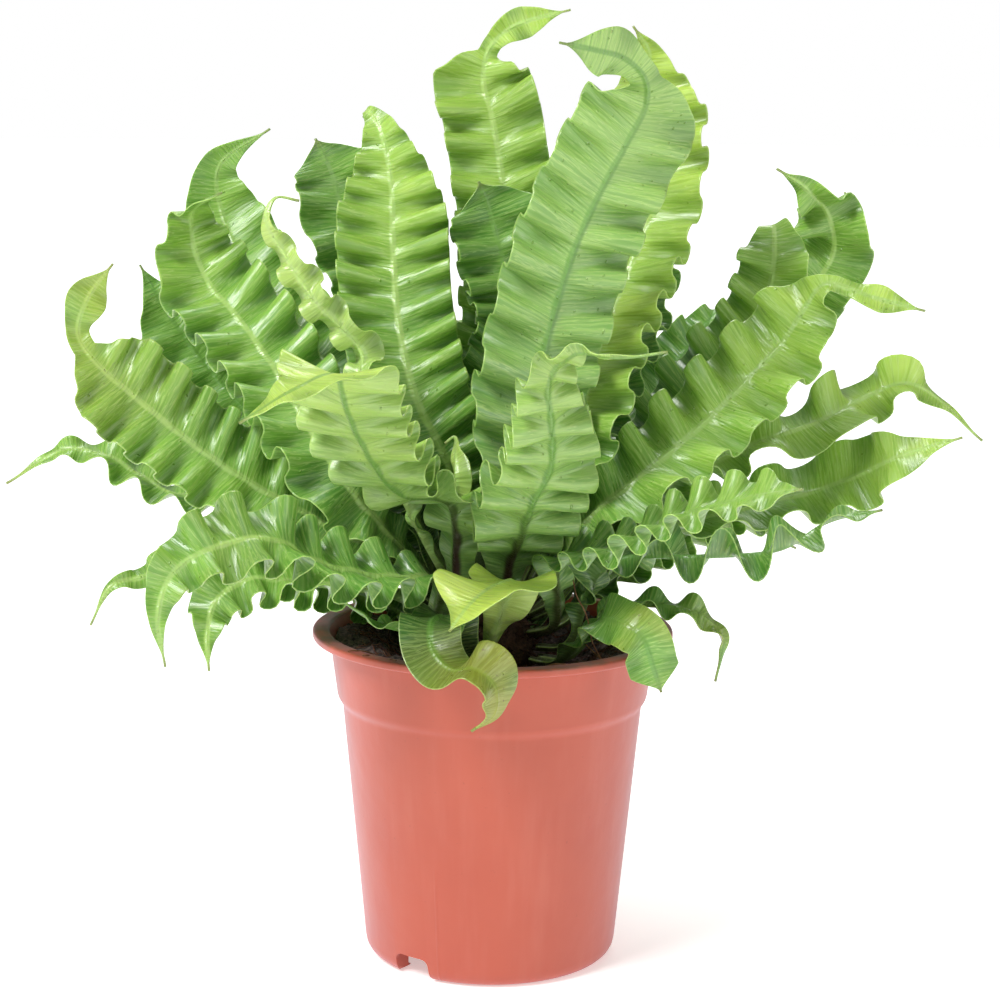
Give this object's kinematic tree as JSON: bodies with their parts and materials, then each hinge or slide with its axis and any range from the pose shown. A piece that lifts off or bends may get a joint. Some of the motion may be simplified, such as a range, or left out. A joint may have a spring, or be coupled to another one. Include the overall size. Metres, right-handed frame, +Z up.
{
  "type": "potted fern",
  "caption": "Crisp-wave fern with long waved strap fronds rising and arching from a short crown, in a thin tapered nursery pot filled with peat.",
  "frame": {"origin": "on the pot's axis, on the surface that the pot's foot ring stands on, at the middle of the base", "axes": "+Z up along the pot's axis, -Y towards the viewer of the picture, +X to that viewer's right"},
  "size_m": [0.337, 0.2295, 0.315],
  "materials": {
    "pot": "satin terracotta-coloured polypropylene",
    "soil": "fibrous dark peat",
    "crown": "rough brown scaly rhizome",
    "frond": "glossy fresh green leaf"
  },
  "bodies": {
    "root": {"pot": "pot", "soil": "soil", "crown": "crown", "frond_tall_back": "frond", "frond_dark_back": "frond", "frond_mid_left": "frond", "frond_mid_left_behind": "frond", "frond_tall_right": "frond", "frond_tall_yellow": "frond", "frond_spike_behind": "frond", "frond_left_top": "frond", "frond_left_high": "frond", "frond_left_behind": "frond", "frond_young_pale": "frond", "frond_left_wide": "frond", "frond_left_far": "frond", "frond_front_left": "frond", "frond_low_left_front": "frond", "frond_low_left_mid": "frond", "frond_low_left_back": "frond", "frond_small_left": "frond", "frond_front_mid": "frond", "frond_young_fold": "frond", "frond_front_droop": "frond", "frond_right_droop": "frond", "frond_right_droop_far": "frond", "frond_right_wavy": "frond", "frond_right_low": "frond", "frond_right_wide": "frond", "frond_right_high": "frond", "frond_right_high_far": "frond", "frond_right_top_back": "frond", "frond_right_far_up": "frond", "frond_right_far_low": "frond", "frond_right_behind": "frond", "frond_young_curl": "frond", "frond_rear_high_left": "frond", "frond_rear_high_right": "frond", "frond_rear_mid_left": "frond", "frond_rear_mid": "frond", "frond_rear_mid_right": "frond", "frond_rear_low_left": "frond", "frond_rear_low": "frond", "frond_rear_low_right": "frond", "frond_rear_side_right": "frond", "frond_rear_droop_left": "frond", "frond_rear_droop_right": "frond"}
  },
  "joints": []
}
